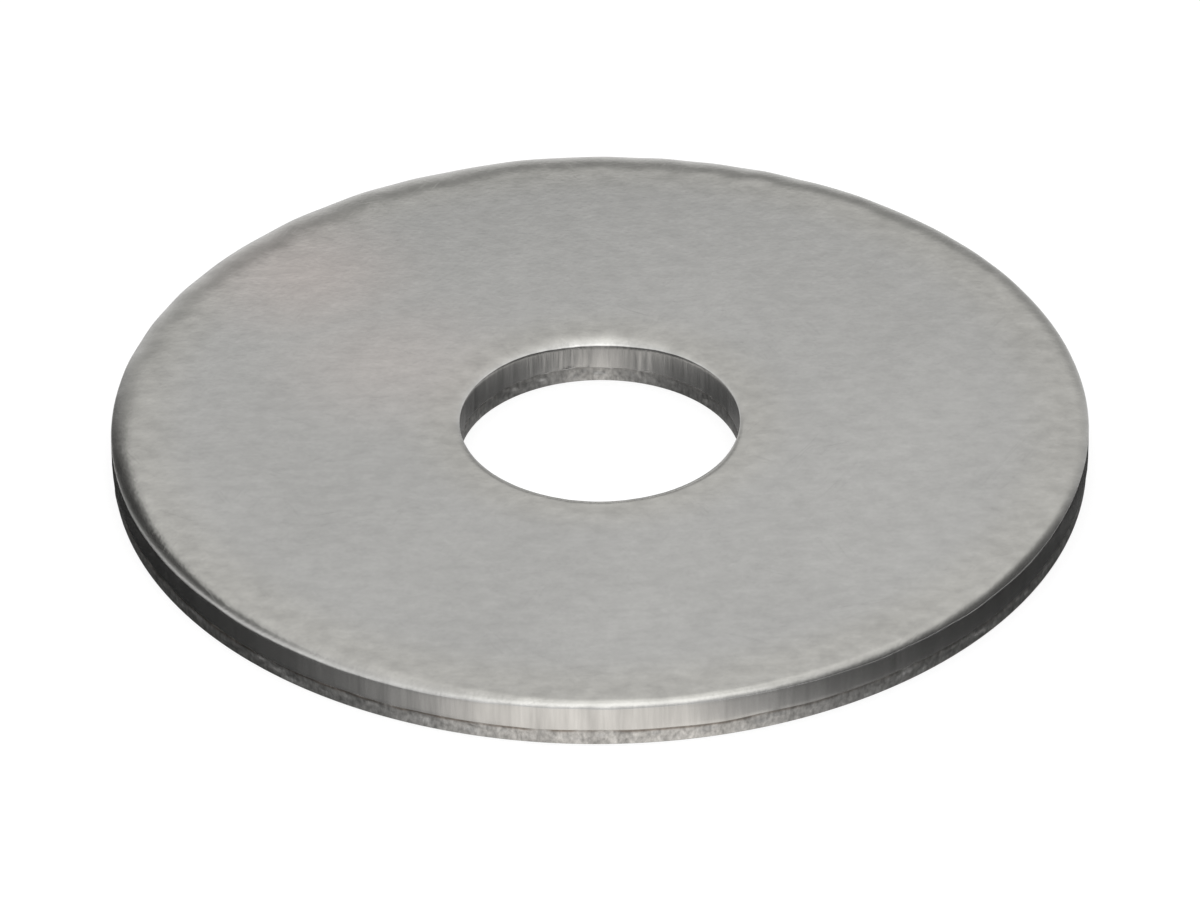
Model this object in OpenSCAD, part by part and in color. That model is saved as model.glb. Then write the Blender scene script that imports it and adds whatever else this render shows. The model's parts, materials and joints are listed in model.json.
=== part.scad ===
// A large flat washer, punched from strip: a wide disc with a small clearance hole.
// The punch enters at the upper face, so each cut edge has the same four stretches from the top down:
// a rolled-over corner, a smooth vertical land, a leaning fracture and a small tumbled corner.

/* [Washer] */
// Diameter over the outside
outside_d = 30; // [24:0.5:40]
// Diameter of the hole; the clearance hole for an 8 mm bolt is 8.4 to 8.62
hole_d = 8.6; // [6.4:0.1:13]
// Thickness of the strip that the washer is punched from
thickness = 1.5; // [1.2:0.1:3]

/* [Rim edge] */
// Width of the rolled-over corner, seen from above
rim_roll_w = 0.55; // [0.1:0.05:1]
// Depth that the rolled-over corner drops below the upper face
rim_roll_h = 0.16; // [0.05:0.01:0.4]
// How far the fracture leans in, from the land down to the lower face
rim_lean = 0.05; // [0.01:0.01:0.2]

/* [Hole edge] */
// Width of the rolled-over corner, seen from above
hole_roll_w = 0.26; // [0.1:0.02:0.6]
// Depth that the rolled-over corner drops below the upper face
hole_roll_h = 0.08; // [0.05:0.01:0.4]
// How far the fracture opens the hole, from the land down to the lower face
hole_lean = 0.02; // [0.01:0.01:0.2]

/* [Rolled-over corners] */
// Share of the drop that follows a parabola; the rest follows a quarter of an ellipse
roll_bend = 0.7; // [0:0.1:1]

/* [Fracture] */
// Height above the lower face where the smooth land ends and the fracture begins
fracture_h = 0.55; // [0.2:0.05:0.7]
// Size of the small corner that tumbling leaves at the lower face
tumbled_w = 0.03; // [0.02:0.01:0.1]

/* [Hidden] */
rim_r = outside_d / 2;
hole_r = hole_d / 2;
// Straight steps along each rolled-over corner
roll_steps = 12;
// The revolve is a true surface, so this only sets how finely a preview shows it
$fn = 180;
// Colour of the bare steel
steel = [0.66, 0.66, 0.65];

// Outline of one cut edge, listed from the upper face down to the lower face.
// The wall stands at wall_r, and side is 1 where it faces away from the axis, -1 where it faces the axis.
// The rolled-over corner is level at the upper face, steepens evenly and turns upright close to the land.
function cut_edge(wall_r, side, roll_w, roll_h, lean) = concat(
    [
        for (step = [0 : roll_steps])
            let (
                turn = 90 * step / roll_steps,
                drop = roll_bend * pow(sin(turn), 2) + (1 - roll_bend) * (1 - cos(turn))
            )
            [
                wall_r - side * roll_w * (1 - sin(turn)),
                thickness - roll_h * drop
            ]
    ],
    [
        [wall_r, fracture_h],
        [wall_r - side * lean, tumbled_w],
        [wall_r - side * (lean + tumbled_w), 0]
    ]
);

// Section through one side of the washer: down the rim's edge, then back up the hole's edge.
module washer_section() {
    rim_edge = cut_edge(rim_r, 1, rim_roll_w, rim_roll_h, rim_lean);
    hole_edge = cut_edge(hole_r, -1, hole_roll_w, hole_roll_h, hole_lean);
    polygon(concat(rim_edge, [for (i = [len(hole_edge) - 1 : -1 : 0]) hole_edge[i]]));
}

module washer() {
    color(steel)
        rotate_extrude()
            washer_section();
}

washer();
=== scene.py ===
import bpy
import json
import math
import numpy as np
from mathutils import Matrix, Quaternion, Vector


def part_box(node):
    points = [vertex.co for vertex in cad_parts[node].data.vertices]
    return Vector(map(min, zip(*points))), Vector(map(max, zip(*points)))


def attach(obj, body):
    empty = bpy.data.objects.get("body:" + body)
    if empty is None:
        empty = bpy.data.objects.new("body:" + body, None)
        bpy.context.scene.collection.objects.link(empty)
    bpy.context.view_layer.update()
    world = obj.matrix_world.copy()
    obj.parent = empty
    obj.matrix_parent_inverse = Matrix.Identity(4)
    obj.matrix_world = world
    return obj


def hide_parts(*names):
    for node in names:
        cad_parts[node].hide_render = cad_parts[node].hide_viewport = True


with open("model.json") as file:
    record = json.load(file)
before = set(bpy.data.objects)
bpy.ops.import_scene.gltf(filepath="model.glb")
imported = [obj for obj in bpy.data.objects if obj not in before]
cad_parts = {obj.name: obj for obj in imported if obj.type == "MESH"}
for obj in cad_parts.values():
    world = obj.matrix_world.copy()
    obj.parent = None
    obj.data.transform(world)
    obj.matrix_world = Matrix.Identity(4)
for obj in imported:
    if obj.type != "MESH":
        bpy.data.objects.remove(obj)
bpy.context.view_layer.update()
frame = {"record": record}
mm = 0.001               # every size below is in millimetres, and Blender counts in metres
print("frame loaded")


# camera

cameraView = {
    "distance": 370.0,   # from the middle of the lower face
    "elevation": 34.54,  # degrees above the floor
    "roll": -0.44,       # degrees, which lifts the right side a little
    "aimHeight": 0.35,   # where the middle of the picture meets the hole's axis
    "lens": 361.0,       # focal length
    "sensor": 36.0,      # sensor width
    "clip": (10.0, 20000.0),
}


def makeCamera(view):
    # The camera stands at distance times (0, -cos elevation, sin elevation), looks at a point on the axis
    # and is then turned by the roll.
    lift = math.radians(view["elevation"])
    place = Vector((0, -math.cos(lift), math.sin(lift))) * view["distance"]
    aim = Vector((0, 0, view["aimHeight"]))
    data = bpy.data.cameras.new("camera")
    data.lens = view["lens"]
    data.sensor_width = view["sensor"]
    data.clip_start, data.clip_end = (reach * mm for reach in view["clip"])
    camera = bpy.data.objects.new("camera", data)
    camera.location = place * mm
    camera.rotation_mode = "QUATERNION"
    turn = Quaternion((0, 0, 1), math.radians(view["roll"]))
    camera.rotation_quaternion = (aim - place).to_track_quat("-Z", "Y") @ turn
    bpy.context.scene.collection.objects.link(camera)
    bpy.context.scene.camera = camera


makeCamera(cameraView)
print("camera placed")


# mesh helpers

def waves(angle, size, seed, least, most):
    # Sum of sines round the ring, with every whole number of waves from least to most and random phases,
    # scaled to a largest value of size. A sine's height is a random 0.4 to 1, over the root of its number.
    draw = np.random.default_rng(seed)
    counts = np.arange(least, most + 1)
    phase = draw.uniform(0, 2 * np.pi, counts.size)
    height = draw.uniform(0.4, 1.0, counts.size) / np.sqrt(counts)
    line = (height * np.sin(angle[:, None] * counts + phase)).sum(1)
    return size * line / np.abs(line).max()


def softNoise(shape, reach, seed):
    # White noise times a Gaussian in Fourier space, so that it is blurred by reach cells each way and joins
    # up at its ends, divided by its standard deviation.
    noise = np.random.default_rng(seed).standard_normal(shape)
    across = [np.fft.fftfreq(n) for n in shape]
    bell = np.exp(-2 * np.pi ** 2 * ((across[0][:, None] * reach[0]) ** 2 + (across[1] * reach[1]) ** 2))
    field = np.fft.ifft2(np.fft.fft2(noise) * bell).real
    return field / field.std()


def gridMesh(name, points, closedAcross, zones):
    # Mesh from a grid of points (columns, rows, 3) in millimetres: each cell is one quad. The columns close
    # up round the ring, and so do the rows where closedAcross is true. Each point has four zone values.
    columns, rows = points.shape[:2]
    index = np.arange(columns * rows).reshape(columns, rows)
    ahead = np.roll(index, -1, 0)
    below = np.roll(index, -1, 1)
    both = np.roll(ahead, -1, 1)
    quads = np.stack([index, below, both, ahead], -1)
    if not closedAcross:
        quads = quads[:, :-1]
    quads = quads.reshape(-1, 4)
    mesh = bpy.data.meshes.new(name)
    mesh.vertices.add(columns * rows)
    mesh.vertices.foreach_set("co", (points * mm).astype(np.float32).ravel())
    mesh.loops.add(quads.size)
    mesh.loops.foreach_set("vertex_index", quads.astype(np.int32).ravel())
    mesh.polygons.add(len(quads))
    mesh.polygons.foreach_set("loop_start", np.arange(0, quads.size, 4, dtype=np.int32))
    mesh.polygons.foreach_set("use_smooth", np.ones(len(quads), bool))
    layer = mesh.attributes.new("zones", "FLOAT_COLOR", "POINT")
    layer.data.foreach_set("color", zones.astype(np.float32).ravel())
    mesh.update(calc_edges=True)
    mesh.validate()
    made = bpy.data.objects.new(name, mesh)
    bpy.context.scene.collection.objects.link(made)
    return made


# washer

boreMount = next(m for m in frame["record"]["mounts"] if m["name"] == "bore")
washerShape = {
    "rimRadius": min(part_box("washer")[1].xy) / mm,
    "holeRadius": boreMount["dims"]["r_mm"],
    "thickness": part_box("washer")[1].z / mm,
    "columns": 1080,     # steps round the ring
    "faceRings": 3,      # rings across each flat face, between its two edges
    "support": 0.06,     # the first ring in from each edge, which keeps the flat face flat
}
rimEdge = {
    # the rolled-over corner: its width and depth at some angles round the ring, in degrees
    "rollWide": {0: 0.40, 45: 0.75, 90: 1.06, 135: 1.28, 180: 0.80, 225: 0.64, 270: 0.28, 315: 0.36},
    "rollDeep": {0: 0.12, 45: 0.13, 90: 0.18, 135: 0.20, 180: 0.20, 225: 0.24, 270: 0.18, 315: 0.23},
    "rollSlope": 0.7,    # share of the depth that comes from an even growth of the slope
    "rollWander": 0.13,  # uneven share of both
    "rollWaves": (3, 60),  # fewest and most waves of it round the ring
    "landEnd": 0.56,     # height where the smooth land ends and the torn steel begins
    "landWander": 0.04,
    "landWaves": (2, 40),
    "ledge": 0.016,      # the small step in, straight under the land
    "lean": 0.05,        # how far the torn steel leans in by the lower face
    "corner": 0.03,      # the tumbled corner at the lower face
    "scores": 0.005,     # depth of the fine upright scores on the land
    "tears": 0.022,      # relief of the torn steel
    # how far the scores and the two sizes of tear run, in columns round the ring and rows down the wall
    "scoreRun": (1.0, 3.0),
    "fineTearRun": (1.5, 1.6),
    "broadTearRun": (5.0, 4.0),
    # how dark the painted shade line under the land is, at some angles round the ring
    "shadeLine": {0: 0.5, 45: 0.5, 90: 0.5, 135: 0.5, 180: 0.6, 225: 1.0, 270: 1.0, 315: 0.5},
    "seed": 11,
}
holeEdge = dict(
    rimEdge, rollWide={0: 0.18, 45: 0.17, 90: 0.52, 135: 0.32, 180: 0.30, 225: 0.28, 270: 0.30, 315: 0.32},
    rollDeep={0: 0.06, 45: 0.06, 90: 0.21, 135: 0.09, 180: 0.06, 225: 0.08, 270: 0.10, 315: 0.10},
    rollWander=0.06, landEnd=0.52, ledge=0.005, lean=0.02, scores=0.006,
    scoreRun=(3.0, 3.0), fineTearRun=(4.5, 1.6), broadTearRun=(15.0, 4.0),
    shadeLine={0: 0.3, 90: 0.15, 180: 0.3, 270: 0.3}, seed=42,
)
edgeSteps = {"roll": 12, "land": 6, "torn": 13, "corner": 3}
edgeBlend = {
    "ringReach": 0.55,       # how far a size reaches round the ring, in parts of the spacing between sizes
    "gather": 1.4,           # power that gathers the rows of the torn steel close under the land
    "broadTears": 0.5,       # strength of the broad tears beside the fine ones
    "leastDepth": 0.001,     # the torn steel stays this far behind the land
    "scoreTop": 2,           # scores are cut off at this many standard deviations
    "cutPower": 4,           # the land's finish grows down the roll-over with this power of the sine
    # shares of the fall from the land's end to the tumbled corner
    "ledge": 0.05,           # over which the ledge steps in
    "landFade": 0.02,        # over which the land's finish fades
    "tornStart": 0.03,       # over which the torn finish sets in
    "shadeLine": (0.10, 0.10),    # middle and width of the painted shade line
    # how much of the land's finish and of the torn finish the tumbled corner has
    "cornerCut": 0.2,
    "cornerTorn": 0.5,
}


def roundRing(angle, sizes):
    # Mean of the given sizes, each weighed by exp(-(degrees away / reach) ** 2).
    sides, given = np.array(list(sizes)), np.array(list(sizes.values()))
    away = (np.degrees(angle)[:, None] - sides + 180) % 360 - 180
    weight = np.exp(-(away * len(sizes) / 360 / edgeBlend["ringReach"]) ** 2)
    return (weight * given).sum(1) / weight.sum(1)


def cutEdge(angle, edge, shape, steps, blend):
    # One cut edge from the upper face down to the lower face, as depth into the steel and height, for every
    # angle. Rolled-over corner: width * (1 - sin turn) in, and down by depth times a share of sin squared
    # plus the rest of 1 - cos. Land: upright, with scores. Torn steel: ledge * (1 - exp(-fall / its share)),
    # then a straight lean, plus relief that fades out at both ends. Tumbled corner: a quarter circle.
    seed = edge["seed"]
    uneven = 1 + waves(angle, edge["rollWander"], seed, *edge["rollWaves"])
    wide = (roundRing(angle, edge["rollWide"]) * uneven)[:, None]
    deep = (roundRing(angle, edge["rollDeep"]) * uneven)[:, None]
    landEnd = edge["landEnd"] + waves(angle, edge["landWander"], seed + 1, *edge["landWaves"])
    landEnd = landEnd[:, None]

    turn = np.linspace(0, np.pi / 2, steps["roll"] + 1)
    bent = edge["rollSlope"] * np.sin(turn) ** 2 + (1 - edge["rollSlope"]) * (1 - np.cos(turn))
    rollIn = wide * (1 - np.sin(turn))
    rollUp = shape["thickness"] - deep * bent

    down = np.linspace(0, 1, steps["land"] + 1)[1:]
    landTop = shape["thickness"] - deep
    landUp = landTop + (landEnd - landTop) * down
    scores = softNoise((angle.size, steps["land"]), edge["scoreRun"], seed + 2)
    landIn = edge["scores"] * np.clip(scores, 0, blend["scoreTop"]) * np.sin(down * np.pi / 2)

    fall = np.linspace(0, 1, steps["torn"] + 1)[1:] ** blend["gather"]
    tornUp = landEnd + (edge["corner"] - landEnd) * fall
    relief = softNoise((angle.size, steps["torn"]), edge["fineTearRun"], seed + 3)
    relief += blend["broadTears"] * softNoise((angle.size, steps["torn"]), edge["broadTearRun"], seed + 4)
    fade = np.sin(np.pi * fall).clip(0)
    step = edge["ledge"] * (1 - np.exp(-fall / blend["ledge"]))
    tornIn = step + (edge["lean"] - edge["ledge"]) * fall + edge["tears"] * relief * fade
    tornIn = tornIn.clip(blend["leastDepth"])

    bend = np.linspace(0, np.pi / 2, steps["corner"] + 1)[1:]
    cornerIn = edge["lean"] + edge["corner"] * (1 - np.cos(bend)) + 0 * wide
    cornerUp = edge["corner"] * (1 - np.sin(bend)) + 0 * wide

    first = wide + shape["support"]
    last = edge["lean"] + edge["corner"] + shape["support"] + 0 * wide
    into = np.hstack([first, rollIn, landIn, tornIn, cornerIn, last])
    height = np.hstack([shape["thickness"] + 0 * wide, rollUp, landUp, tornUp, cornerUp, 0 * wide])

    def downEdge(roll, land, torn, corner):
        # one value for each point of the section, with none on the two faces
        parts = zip((roll, land, torn, corner), (turn, down, fall, bend))
        return np.hstack([0, *[value + 0 * places for value, places in parts], 0])

    # zones: red is freshly cut steel, green torn steel, blue the painted shade line under the land, alpha
    # the roll-over
    landLeft = np.exp(-fall / blend["landFade"])
    middle, width = blend["shadeLine"]
    cut = downEdge(np.sin(turn) ** blend["cutPower"], 1, landLeft, blend["cornerCut"])
    torn = downEdge(0, 0, 1 - np.exp(-fall / blend["tornStart"]), blend["cornerTorn"])
    shadeLine = downEdge(0, 0, np.exp(-((fall - middle) / width) ** 2), 0)
    shadeLine = roundRing(angle, edge["shadeLine"])[:, None] * shadeLine
    roll = downEdge(np.sqrt(np.sin(turn)), 1, landLeft, blend["cornerCut"])
    zones = np.stack([cut + 0 * shadeLine, torn + 0 * shadeLine, shadeLine, roll + 0 * shadeLine], -1)
    return into, height, zones


def makeWasher(shape, rim, hole):
    # The section is a closed loop: down the rim's edge, across the lower face, up the hole's edge and back
    # across the upper face. Every column of the grid is that loop at one angle, turned about the axis.
    angle = np.linspace(0, 2 * np.pi, shape["columns"], endpoint=False)
    rimIn, rimUp, rimZones = cutEdge(angle, rim, shape, edgeSteps, edgeBlend)
    holeIn, holeUp, holeZones = cutEdge(angle, hole, shape, edgeSteps, edgeBlend)
    rimOut = shape["rimRadius"] - rimIn
    holeOut = (shape["holeRadius"] + holeIn)[:, ::-1]
    share = np.linspace(0, 1, shape["faceRings"] + 2)[1:-1]
    lower = rimOut[:, -1:] + (holeOut[:, :1] - rimOut[:, -1:]) * share
    upper = holeOut[:, -1:] + (rimOut[:, :1] - holeOut[:, -1:]) * share
    radius = np.hstack([rimOut, lower, holeOut, upper])
    height = np.hstack([rimUp, 0 * lower, holeUp[:, ::-1], 0 * upper + shape["thickness"]])
    plain = np.zeros((angle.size, share.size, 4))
    zones = np.concatenate([rimZones, plain, holeZones[:, ::-1], plain], 1)
    points = np.stack([radius * np.cos(angle)[:, None], radius * np.sin(angle)[:, None], height], -1)
    return gridMesh("flat_washer", points, True, zones)


washer = makeWasher(washerShape, rimEdge, holeEdge)
print("washer made:", len(washer.data.polygons), "quads")


# steel

steelFinish = {
    "face": (0.417, 0.415, 0.401),   # strip as rolled and tumbled
    # painted light: the lighter, pinker tint of the patches below
    "paintedLight": (0.490, 0.457, 0.433),
    # painted light: faint lighter, pinker patches on the face, not stains: middle, how far each reaches and
    # its strength
    "paintedLightPatches": [(-6.4, 3.2, 5.0, 0.6), (-9.2, 8.2, 4.8, 1.0)],
    "nearEdge": (0.420, 0.414, 0.390),
    "cut": (0.512, 0.508, 0.496),    # freshly cut steel of the land
    "torn": (0.430, 0.425, 0.415),
    "shadeLine": (0.200, 0.175, 0.155),   # painted shade: the dark line in the step under the land
    "faceRough": 0.25,
    "rollRough": 0.22,
    "cutRough": 0.27,
    "tornRough": 0.5,
    "cloud": 0.10,                   # slow change of tone over the faces
    "mottle": 0.13,                  # tumbling marks, which are stronger near the edges
    "grain": 0.07,
    "lines": 0.03,                   # faint rolling lines along the strip
    "scratches": 0.04,
    "streaks": 0.45,                 # upright streaks on the cut walls
    "fineStreaks": 0.35,             # the share of them that is fine
    "grit": 0.75,                    # tone of the torn steel
    "bump": 0.0055,                  # height of the finest relief
    "wallBump": 3.8,                 # how much higher it is on the cut walls
    # radii between which the marks near the rim and near the hole set in
    "edgeBands": ((12.3, 14.2), (6.4, 4.7)),
    "lineTurn": 4.0,                 # degrees between the rolling lines and the x axis
    "shadeLineBreaks": (0.30, 0.44),      # levels of its noise between which the painted shade line under the land sets in
}
# features per millimetre along x, y and z, and octaves of detail
patterns = {
    "cloud": ((0.16, 0.16, 0.16), 4.0),
    "mottle": ((1.5, 2.1, 1.5), 3.0),
    "grain": ((7.0, 7.0, 7.0), 3.0),
    "lines": ((0.25, 6.0, 0.3), 2.0),
    "scratch": ((0.16, 2.6, 0.5), 1.0),
    "scratch patch": ((0.45, 0.45, 0.45), 1.0),
    "broad streaks": ((1.8, 1.8, 0.2), 2.0),
    "fine streaks": ((9.0, 9.0, 0.9), 2.0),
    "grit": ((8.0, 8.0, 5.0), 4.0),
    "shade line breaks": ((0.5, 0.5, 0.01), 2.0),
}
scratches = {
    "turns": (17, 63, 118, 152),     # degrees
    "level": 0.5,                    # a scratch is where its noise is at this level
    "levelStep": 0.05,               # higher by this for each turn
    "halfWidth": 0.004,              # in levels of the noise
    "patch": (0.55, 0.68),           # levels of the patch noise between which the scratches set in
    "depth": -0.3,                   # height of a scratch beside the grain's
}


def addNode(tree, kind, place, **settings):
    made = tree.nodes.new("ShaderNode" + kind)
    made.location = place
    for name, value in settings.items():
        setattr(made, name, value)
    return made


def feed(tree, socket, value):
    # A socket takes either a link or a plain value.
    if isinstance(value, bpy.types.NodeSocket):
        tree.links.new(value, socket)
    else:
        socket.default_value = value


def calculate(tree, place, operation, first, second=0.0, third=0.0):
    made = addNode(tree, "Math", place, operation=operation)
    for socket, value in zip(made.inputs, (first, second, third)):
        feed(tree, socket, value)
    return made.outputs[0]


def noiseAt(tree, place, position, name, turn=0.0):
    # Noise of the named pattern, turned about the hole's axis. A mapping of the texture kind turns first
    # and then divides by its scale.
    stretch, detail = patterns[name]
    mapping = addNode(tree, "Mapping", place, vector_type="TEXTURE")
    mapping.inputs["Rotation"].default_value = (0, 0, math.radians(turn))
    mapping.inputs["Scale"].default_value = [1 / each for each in stretch]
    feed(tree, mapping.inputs["Vector"], position)
    noise = addNode(tree, "TexNoise", (place[0] + 180, place[1]))
    noise.inputs["Scale"].default_value = 1.0
    noise.inputs["Detail"].default_value = detail
    feed(tree, noise.inputs["Vector"], mapping.outputs[0])
    return noise.outputs["Fac"]


def smoothStep(tree, place, value, start, stop, top=1.0):
    # 0 at start, top at stop and a smooth rise between them
    made = addNode(tree, "MapRange", place, interpolation_type="SMOOTHSTEP")
    for label, given in {"Value": value, "From Min": start, "From Max": stop, "To Max": top}.items():
        feed(tree, made.inputs[label], given)
    return made.outputs[0]


def mixColours(tree, place, share, first, second):
    # first * (1 - share) + second * share, and the same for values below
    made = addNode(tree, "Mix", place, data_type="RGBA")
    feed(tree, made.inputs["Factor"], share)
    for socket, value in ((made.inputs[6], first), (made.inputs[7], second)):
        feed(tree, socket, (*value, 1.0) if isinstance(value, tuple) else value)
    return made.outputs[2]


def mixValues(tree, place, share, first, second):
    made = addNode(tree, "Mix", place, data_type="FLOAT")
    feed(tree, made.inputs["Factor"], share)
    feed(tree, made.inputs[2], first)
    feed(tree, made.inputs[3], second)
    return made.outputs[0]


def newGroup(name, takes, gives):
    group = bpy.data.node_groups.new(name, "ShaderNodeTree")
    for label, kind in takes:
        group.interface.new_socket(label, in_out="INPUT", socket_type="NodeSocket" + kind)
    for label in gives:
        group.interface.new_socket(label, in_out="OUTPUT", socket_type="NodeSocketFloat")
    start = group.nodes.new("NodeGroupInput")
    start.location = (-900, 0)
    end = group.nodes.new("NodeGroupOutput")
    end.location = (1200, 0)
    return group, start.outputs, end.inputs


def centred(tree, place, noise, strength):
    # 1 + (noise - 0.5) * 2 * strength, a tone that swings about 1
    swing = calculate(tree, place, "SUBTRACT", noise, 0.5)
    doubled = calculate(tree, (place[0] + 160, place[1]), "MULTIPLY", swing, 2.0)
    return calculate(tree, (place[0] + 320, place[1]), "MULTIPLY_ADD", doubled, strength, 1.0)


def rolledFinish(finish, marks):
    # Tone = cloud * grain * lines * mottle * (1 - scratches). The mottle is twice as strong near both edges.
    # A scratch is where a long, thin noise is close to its level, inside the patches of another noise.
    group, take, give = newGroup(
        "rolled finish",
        [
            ("Position", "Vector"), ("Cloud", "Float"), ("Mottle", "Float"), ("Grain", "Float"),
            ("Lines", "Float"), ("Scratches", "Float"),
        ],
        ["Tone", "Height", "Edges"],
    )
    cloud = noiseAt(group, (-700, 500), take["Position"], "cloud")
    grain = noiseAt(group, (-700, 250), take["Position"], "grain")
    lines = noiseAt(group, (-700, 0), take["Position"], "lines", finish["lineTurn"])
    cloudTone = centred(group, (-250, 500), cloud, take["Cloud"])
    grainTone = centred(group, (-250, 250), grain, take["Grain"])
    lineTone = centred(group, (-250, 0), lines, take["Lines"])
    tone = calculate(group, (500, 400), "MULTIPLY", cloudTone, grainTone)
    tone = calculate(group, (680, 300), "MULTIPLY", tone, lineTone)

    flat = addNode(group, "VectorMath", (-700, 900), operation="MULTIPLY")
    flat.inputs[1].default_value = (1, 1, 0)
    feed(group, flat.inputs[0], take["Position"])
    radius = addNode(group, "VectorMath", (-520, 900), operation="LENGTH")
    feed(group, radius.inputs[0], flat.outputs[0])
    edges = 0.0
    for row, (start, stop) in zip((1100, 900), finish["edgeBands"]):
        edge = smoothStep(group, (-340, row), radius.outputs["Value"], start, stop)
        edges = calculate(group, (-160, row), "MAXIMUM", edge, edges)
    feed(group, give["Edges"], edges)
    amount = calculate(group, (0, 900), "ADD", edges, 1.0)
    amount = calculate(group, (160, 900), "MULTIPLY", amount, take["Mottle"])
    mottle = noiseAt(group, (-700, 700), take["Position"], "mottle")
    tone = calculate(group, (760, 500), "MULTIPLY", tone, centred(group, (300, 700), mottle, amount))

    scratched = 0.0
    for step, turn in enumerate(marks["turns"]):
        row = -250 - 250 * step
        streak = noiseAt(group, (-700, row), take["Position"], "scratch", turn)
        level = marks["level"] + marks["levelStep"] * step
        offset = calculate(group, (-330, row), "SUBTRACT", streak, level)
        away = calculate(group, (-170, row), "ABSOLUTE", offset)
        line = smoothStep(group, (-10, row), away, marks["halfWidth"], 0.0)
        patch = noiseAt(group, (150, row), take["Position"], "scratch patch", turn)
        here = smoothStep(group, (520, row), patch, *marks["patch"])
        both = calculate(group, (700, row), "MULTIPLY", line, here)
        scratched = calculate(group, (860, row), "MAXIMUM", both, scratched)
    taken = calculate(group, (900, 100), "MULTIPLY", scratched, take["Scratches"])
    kept = calculate(group, (1000, 200), "SUBTRACT", 1.0, taken)
    feed(group, give["Tone"], calculate(group, (1080, 300), "MULTIPLY", tone, kept))
    depth = calculate(group, (1000, 0), "MULTIPLY", scratched, marks["depth"])
    feed(group, give["Height"], calculate(group, (1080, -100), "ADD", depth, grain))
    return group


def shearedFinish(finish):
    # Tone = streaks * grit. The streaks are noise stretched along the hole's axis, and the grit is nearly
    # round noise. Height = grit where the steel is torn, plus the streaks.
    group, take, give = newGroup(
        "sheared finish",
        [("Position", "Vector"), ("Streaks", "Float"), ("Grit", "Float"), ("Torn", "Float")],
        ["Tone", "Height"],
    )
    broad = noiseAt(group, (-700, 400), take["Position"], "broad streaks")
    fine = noiseAt(group, (-700, 150), take["Position"], "fine streaks")
    grit = noiseAt(group, (-700, -100), take["Position"], "grit")
    streaks = mixValues(group, (-140, 300), finish["fineStreaks"], broad, fine)
    streakTone = centred(group, (20, 300), streaks, take["Streaks"])
    amount = calculate(group, (20, 0), "MULTIPLY", take["Grit"], take["Torn"])
    gritTone = centred(group, (180, 0), grit, amount)
    feed(group, give["Tone"], calculate(group, (760, 200), "MULTIPLY", streakTone, gritTone))
    tornHeight = calculate(group, (520, -200), "MULTIPLY", grit, take["Torn"])
    feed(group, give["Height"], calculate(group, (760, -100), "ADD", tornHeight, streaks))
    return group


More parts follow.
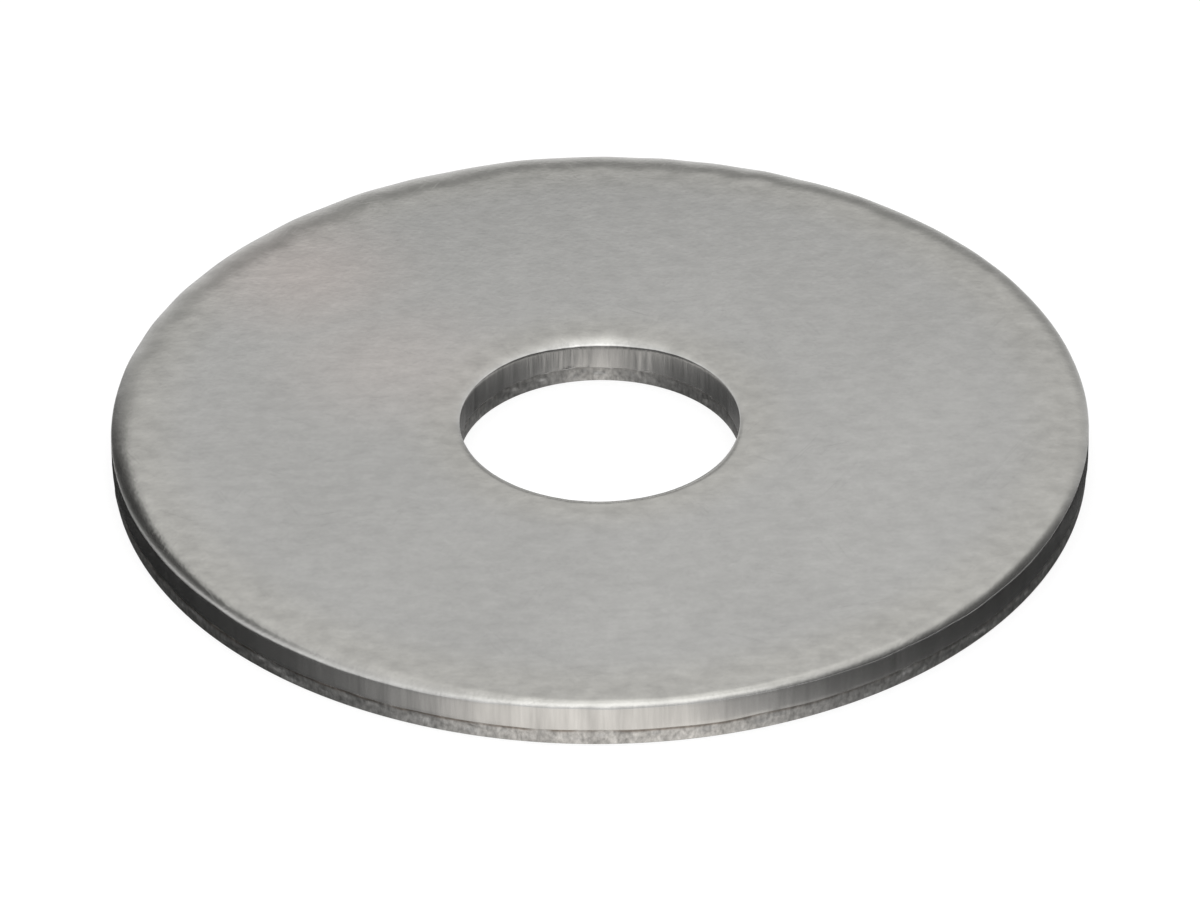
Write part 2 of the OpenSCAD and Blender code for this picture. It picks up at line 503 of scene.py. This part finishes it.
def steelMaterial(finish):
    material = bpy.data.materials.new("punched steel")
    material.use_nodes = True
    tree = material.node_tree
    shader = tree.nodes["Principled BSDF"]
    shader.inputs["Metallic"].default_value = 1.0
    coordinates = addNode(tree, "TexCoord", (-1900, 200))
    position = addNode(tree, "VectorMath", (-1720, 200), operation="SCALE")
    position.inputs["Scale"].default_value = 1 / mm
    tree.links.new(coordinates.outputs["Object"], position.inputs[0])
    position = position.outputs[0]
    zones = addNode(tree, "Attribute", (-1900, -200), attribute_name="zones")
    split = addNode(tree, "SeparateColor", (-1720, -200))
    tree.links.new(zones.outputs["Color"], split.inputs[0])
    cut, torn, shadeLine = (split.outputs[i] for i in range(3))
    roll = zones.outputs["Alpha"]

    rolled = addNode(tree, "Group", (-1400, 500), node_tree=rolledFinish(finish, scratches))
    for label in ("Cloud", "Mottle", "Grain", "Lines", "Scratches"):
        rolled.inputs[label].default_value = finish[label.lower()]
    tree.links.new(position, rolled.inputs["Position"])
    sheared = addNode(tree, "Group", (-1400, 100), node_tree=shearedFinish(finish))
    for label in ("Streaks", "Grit"):
        sheared.inputs[label].default_value = finish[label.lower()]
    tree.links.new(position, sheared.inputs["Position"])
    tree.links.new(torn, sheared.inputs["Torn"])

    wall = calculate(tree, (-1400, -200), "MAXIMUM", cut, torn)

    # the painted shade line under the land comes and goes with slow noise round the ring
    broken = noiseAt(tree, (-1700, -500), position, "shade line breaks")
    present = smoothStep(tree, (-1300, -500), broken, *finish["shadeLineBreaks"])
    shadeLine = calculate(tree, (-1120, -500), "MULTIPLY", shadeLine, present)
    # painted light patches: smooth fall from the strength in the middle to nothing at the reach
    paintedLight = 0.0
    for step, (x, y, reach, strength) in enumerate(finish["paintedLightPatches"]):
        row = 1000 + 250 * step
        away = addNode(tree, "VectorMath", (-1700, row), operation="DISTANCE")
        away.inputs[1].default_value = (x, y, washerShape["thickness"])
        tree.links.new(position, away.inputs[0])
        lightPatch = smoothStep(tree, (-1500, row), away.outputs["Value"], reach, 0.0, strength)
        paintedLight = calculate(tree, (-1340, row), "MAXIMUM", lightPatch, paintedLight)

    colour = mixColours(tree, (-1300, 700), rolled.outputs["Edges"], finish["face"], finish["nearEdge"])
    # painted light: lighter, pinker patches on the face's left back
    colour = mixColours(tree, (-1200, 700), paintedLight, colour, finish["paintedLight"])
    colour = mixColours(tree, (-1100, 600), cut, colour, finish["cut"])
    colour = mixColours(tree, (-900, 600), torn, colour, finish["torn"])
    # painted shade: the dark line under the land stands in for the shade of the small step there
    colour = mixColours(tree, (-800, 600), shadeLine, colour, finish["shadeLine"])
    tone = mixValues(tree, (-1100, 300), wall, rolled.outputs["Tone"], sheared.outputs["Tone"])
    final = addNode(tree, "VectorMath", (-700, 500), operation="SCALE")
    tree.links.new(colour, final.inputs[0])
    tree.links.new(tone, final.inputs["Scale"])
    tree.links.new(final.outputs[0], shader.inputs["Base Color"])

    rough = mixValues(tree, (-1100, -100), roll, finish["faceRough"], finish["rollRough"])
    rough = mixValues(tree, (-1000, -100), cut, rough, finish["cutRough"])
    rough = mixValues(tree, (-900, -100), torn, rough, finish["tornRough"])
    tree.links.new(rough, shader.inputs["Roughness"])

    wallHeight = calculate(tree, (-1250, -400), "MULTIPLY", sheared.outputs["Height"], finish["wallBump"])
    height = mixValues(tree, (-1100, -400), wall, rolled.outputs["Height"], wallHeight)
    bump = addNode(tree, "Bump", (-500, -400))
    bump.inputs["Strength"].default_value = 1.0
    bump.inputs["Distance"].default_value = finish["bump"] * mm
    tree.links.new(height, bump.inputs["Height"])
    tree.links.new(bump.outputs[0], shader.inputs["Normal"])
    return material


washer.data.materials.append(steelMaterial(steelFinish))
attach(washer, "root")
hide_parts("washer")
print("steel finished")


# stage: floor, cards that only the steel sees, lamps and world

stageSet = {
    "floorHalf": 3000.0,
    "floorDrop": 0.01,       # the floor lies this far under the washer
    "floorGlow": 0.77,       # the part of the white that shadow doesn't touch
    "floorColour": 0.30,
    "bounceColour": 0.75,    # the floor's colour for all rays but the camera's and the gloss's
    "worldLevel": 0.9,
    "matColumns": 360,
    "matRows": 24,
    "rimMatUnder": 0.5,      # how far the rim's mat runs in under the washer
    "holeMatGap": 0.01,      # radius that the hole's mat leaves open at the axis
}
# The mats lie just above the floor: dark cards with a bright window across them. Its middle and half width
# are given close to the wall and away from it. The dark level is given left and right of the window, and so
# is what the two ends have on top of it, over a width. Reach is how far the mat runs out past the wall.
rimMat = {
    "rise": 0.02, "reach": 5.5, "dark": (0.0, 0.02), "bright": 1.15, "power": 3.7,
    "middle": (0.7, -0.8), "half": (5.4, 5.5), "close": 0.8, "ends": (0.01, 0.05), "endWidth": 0.2,
}
holeMat = {
    "rise": 0.02, "reach": 0.15, "dark": (0.02, 0.02), "bright": 0.84, "power": 2.2,
    "middle": (-0.1, 0.10), "half": (1.25, 0.20), "close": 1.2, "ends": (0.22, 0.22), "endWidth": 0.8,
}
warmth = (1.02, 0.985, 0.945)    # tint of the windows


def flatMaterial(name, build):
    # Material with only the shader that build gives. Its glow isn't sampled as a lamp.
    material = bpy.data.materials.new(name)
    material.use_nodes = True
    material.cycles.emission_sampling = "NONE"
    tree = material.node_tree
    tree.nodes.remove(tree.nodes["Principled BSDF"])
    tree.links.new(build(tree), tree.nodes["Material Output"].inputs["Surface"])
    return material


def floorShader(tree):
    # The camera and the steel see white that a shadow dims a little; everything else sees plain pale paper.
    rays = addNode(tree, "LightPath", (-900, 300)).outputs
    seen = calculate(tree, (-700, 300), "MAXIMUM", rays["Is Camera Ray"], rays["Is Glossy Ray"])
    seen = calculate(tree, (-520, 300), "MAXIMUM", seen, rays["Is Transmission Ray"])
    paper = addNode(tree, "BsdfDiffuse", (-520, 100))
    paper.inputs["Color"].default_value = (*[stageSet["bounceColour"]] * 3, 1)
    shade = addNode(tree, "BsdfDiffuse", (-520, -50))
    shade.inputs["Color"].default_value = (*[stageSet["floorColour"]] * 3, 1)
    glow = addNode(tree, "Emission", (-520, -200))
    glow.inputs["Strength"].default_value = stageSet["floorGlow"]
    white = addNode(tree, "AddShader", (-300, -100))
    tree.links.new(shade.outputs[0], white.inputs[0])
    tree.links.new(glow.outputs[0], white.inputs[1])
    mix = addNode(tree, "MixShader", (-100, 100))
    tree.links.new(seen, mix.inputs[0])
    tree.links.new(paper.outputs[0], mix.inputs[1])
    tree.links.new(white.outputs[0], mix.inputs[2])
    return mix.outputs[0]


def cardShader(tree):
    # glows by the colour in its zones
    level = addNode(tree, "Attribute", (-500, 0), attribute_name="zones")
    glow = addNode(tree, "Emission", (-250, 0))
    tree.links.new(level.outputs["Color"], glow.inputs["Color"])
    return glow.outputs[0]


def makeFloor():
    half, drop = stageSet["floorHalf"] * mm, -stageSet["floorDrop"] * mm
    mesh = bpy.data.meshes.new("floor")
    corners = [(-half, -half, drop), (half, -half, drop), (half, half, drop), (-half, half, drop)]
    mesh.from_pydata(corners, [], [(0, 1, 2, 3)])
    mesh.materials.append(flatMaterial("pale floor", floorShader))
    floor = bpy.data.objects.new("floor", mesh)
    bpy.context.scene.collection.objects.link(floor)


def window(x, away, wall, mat):
    # dark + (bright - dark) / (1 + the distance from the middle over half, to a power); the middle and half
    # change from close to the wall to away from it by exp(-(away / close) ** 2). The ends add their amount
    # times exp(-((wall - |x|) / width) ** 2).
    near = np.exp(-(away / mat["close"]) ** 2)
    middle = mat["middle"][1] + (mat["middle"][0] - mat["middle"][1]) * near
    half = mat["half"][1] + (mat["half"][0] - mat["half"][1]) * near
    share = 1 / (1 + np.abs((x - middle) / half) ** mat["power"])
    dark = np.where(x < 0, *mat["dark"])
    ends = np.where(x < 0, *mat["ends"]) * np.exp(-((wall - np.abs(x)) / mat["endWidth"]) ** 2)
    return dark + (mat["bright"] - dark) * share + ends


def onlySteelSees(card):
    for ray in ("camera", "diffuse", "transmission", "volume_scatter", "shadow"):
        setattr(card, "visible_" + ray, False)


def makeMat(name, inner, outer, wall, mat):
    # Flat ring round the axis, with the window's level at each x and each distance from the wall.
    angle = np.linspace(0, 2 * np.pi, stageSet["matColumns"], endpoint=False)[:, None]
    radius = np.linspace(outer, inner, stageSet["matRows"])[None]
    x, y = radius * np.cos(angle), radius * np.sin(angle)
    level = window(x, np.abs(radius - wall), wall, mat)
    warm = 1 + (np.array(warmth) - 1) * level[..., None].clip(0, 1)
    zones = np.concatenate([level[..., None] * warm, 0 * level[..., None] + 1], -1)
    points = np.stack([x, y, 0 * x + mat["rise"]], -1)
    made = gridMesh(name, points, False, zones)
    made.data.materials.append(flatMaterial(name, cardShader))
    onlySteelSees(made)


rimRadius, holeRadius = washerShape["rimRadius"], washerShape["holeRadius"]
makeFloor()
makeMat("rim mat", rimRadius - stageSet["rimMatUnder"], rimRadius + rimMat["reach"], rimRadius, rimMat)
makeMat("hole mat", stageSet["holeMatGap"], holeRadius + holeMat["reach"], holeRadius, holeMat)


# The walls have dark and bright shapes: middle in degrees round, height, half width, half height, how much
# a shape rises per degree round, and the share of the light that it takes away, or adds if it is negative.
surround = {
    "radius": 75.0,
    "top": 78.0,             # heights here are in degrees above the floor
    "bottom": 0.0,
    "columns": 240,
    "rows": 64,
    "shapes": {
        "back": (85.0, 19.0, 27.0, 7.0, 0.12, 0.63),
        "left": (180.0, 7.0, 38.0, 18.0, 0.0, 0.78),
        "front": (265.0, 2.0, 40.0, 9.0, 0.0, 0.20),
        "front strip": (275.0, 66.0, 44.0, 16.0, 0.0, -1.10),
        "back strip": (60.0, 75.0, 65.0, 13.0, 0.0, -0.25),
    },
}
# grey gauze close to the rim, so that the corners see its dark shapes and the face hardly does
gauze = {
    "radius": 19.0,
    "top": 22.0,             # heights here are in millimetres
    "bottom": 1.4,
    "columns": 240,
    "rows": 80,
    "shapes": {
        "left": (181.5, 9.6, 26.0, 4.5, 0.20, 0.98),
        "right": (327.0, 0.4, 38.0, 7.7, 0.036, 0.88),
    },
}
shapePower = 6               # how sharply a shape ends


def gauzeShader(tree):
    # lets through the colour in its zones
    level = addNode(tree, "Attribute", (-500, 0), attribute_name="zones")
    through = addNode(tree, "BsdfTransparent", (-250, 0))
    tree.links.new(level.outputs["Color"], through.inputs["Color"])
    return through.outputs[0]


def makeWall(name, card, up, rise, shader):
    # Round wall whose level is the product of one minus each shape. A shape is what it takes away, over
    # 1 + across to the power, and over 1 + upward to the power, where across is in half widths from its
    # middle and upward in half heights. Up is in the unit of the shapes' heights, and rise in millimetres.
    around = np.linspace(0, 360, card["columns"], endpoint=False)[:, None]
    level = np.ones((card["columns"], card["rows"]))
    for middle, height, wide, tall, slope, taken in card["shapes"].values():
        turned = (around - middle + 180) % 360 - 180
        across = turned / wide
        upward = (up - height - slope * turned) / tall
        level = level * (1 - taken / (1 + across ** shapePower) / (1 + upward ** shapePower))
    turn = np.radians(around)
    flat = card["radius"] + 0 * rise
    points = np.stack([flat * np.cos(turn), flat * np.sin(turn), rise + 0 * turn], -1)
    zones = np.stack([level, level, level, 0 * level + 1], -1)
    made = gridMesh(name, points, False, zones)
    made.data.materials.append(flatMaterial(name, shader))
    onlySteelSees(made)


degreesUp = np.linspace(surround["top"], surround["bottom"], surround["rows"])[None]
makeWall("surround", surround, degreesUp, surround["radius"] * np.tan(np.radians(degreesUp)), cardShader)
gauzeUp = np.linspace(gauze["top"], gauze["bottom"], gauze["rows"])[None]
makeWall("gauze", gauze, gauzeUp, gauzeUp, gauzeShader)


lamps = {
    "top softbox": {"place": (0, 0, 420), "size": (520, 520), "level": 0.70},
}


def makeLamp(name, lamp):
    # A lamp's power is its brightness times pi times its area, so level 1 is as bright as a white surface.
    data = bpy.data.lights.new(name, "AREA")
    data.shape = "RECTANGLE"
    data.size, data.size_y = lamp["size"][0] * mm, lamp["size"][1] * mm
    data.energy = lamp["level"] * math.pi * data.size * data.size_y
    made = bpy.data.objects.new(name, data)
    made.location = Vector(lamp["place"]) * mm
    made.rotation_mode = "QUATERNION"
    made.rotation_quaternion = (-made.location).to_track_quat("-Z", "Y")
    made.visible_camera = False
    bpy.context.scene.collection.objects.link(made)


for name, lamp in lamps.items():
    makeLamp(name, lamp)


def makeWorld():
    # White where the camera looks past the floor, and a soft even light for everything else.
    world = bpy.data.worlds.new("soft studio")
    world.use_nodes = True
    world.cycles.sampling_method = "NONE"
    tree = world.node_tree
    background = tree.nodes["Background"]
    rays = addNode(tree, "LightPath", (-600, 300))
    level = addNode(tree, "Mix", (-300, 200), data_type="FLOAT")
    tree.links.new(rays.outputs["Is Camera Ray"], level.inputs["Factor"])
    level.inputs[2].default_value = stageSet["worldLevel"]
    level.inputs[3].default_value = 1.0
    tree.links.new(level.outputs[0], background.inputs["Strength"])
    background.inputs["Color"].default_value = (1, 1, 1, 1)
    bpy.context.scene.world = world


makeWorld()
bpy.context.scene.view_settings.view_transform = "Standard"
print("stage set")
